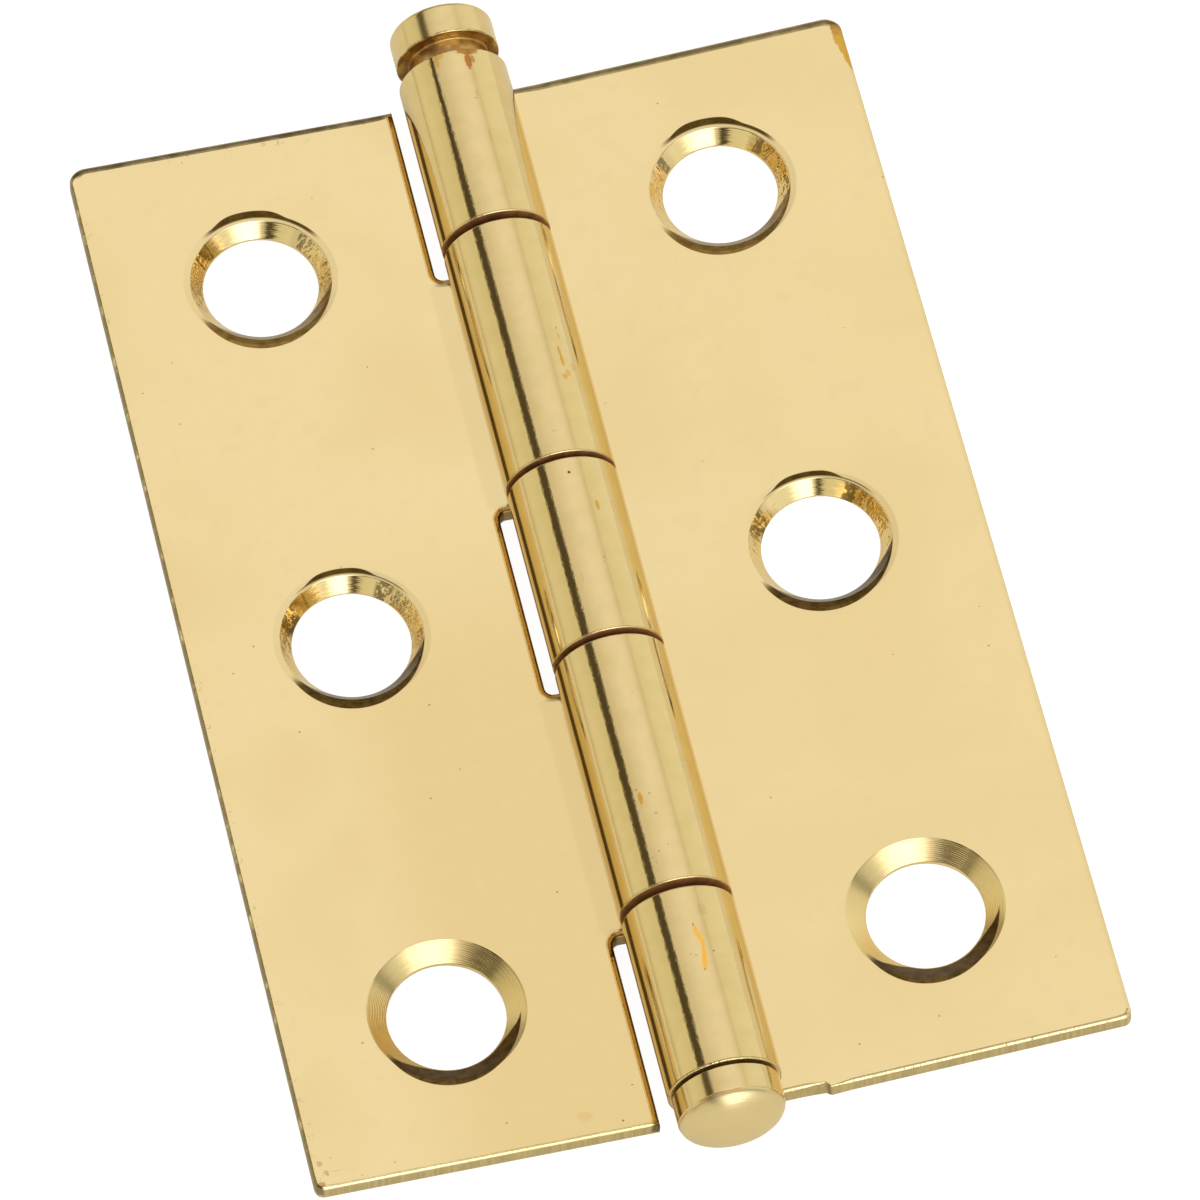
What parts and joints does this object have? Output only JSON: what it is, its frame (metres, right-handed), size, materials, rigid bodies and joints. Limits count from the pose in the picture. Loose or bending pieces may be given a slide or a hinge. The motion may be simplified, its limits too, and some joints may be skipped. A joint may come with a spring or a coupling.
{
  "type": "butt hinge",
  "caption": "Loose-pin butt hinge with two rolled sheet leaves, countersunk screw holes, a removable headed pin and a button end; the leaves swing about the pin.",
  "frame": {"origin": "on the plane of the fixed leaf's back, straight under the pin's axis, midway between the ends of the head and the button", "axes": "+Y along the pin towards its head, +X towards the fixed leaf, +Z from the leaves' backs towards the barrel side"},
  "size_m": [0.043, 0.0692, 0.006],
  "materials": {
    "leaf_brass": "polished, bright plated",
    "pin_brass": "polished, turned",
    "button_brass": "polished band, satin turned dome"
  },
  "bodies": {
    "fixed_leaf": {"fixed_leaf": "leaf_brass", "bottom_button": "button_brass"},
    "moving_leaf": {"moving_leaf": "leaf_brass"},
    "pin": {"pin": "pin_brass"}
  },
  "joints": [
    {"name": "leaf_swing", "type": "hinge", "parent": "fixed_leaf", "child": "moving_leaf", "pos_m": [0, 0, 0.003], "axis": [0, 1, 0], "range_deg": [-94.5, 185]},
    {"name": "pin_lift", "type": "slide", "parent": "fixed_leaf", "child": "pin", "axis": [0, 1, 0], "range_m": [0, 0.062]}
  ]
}
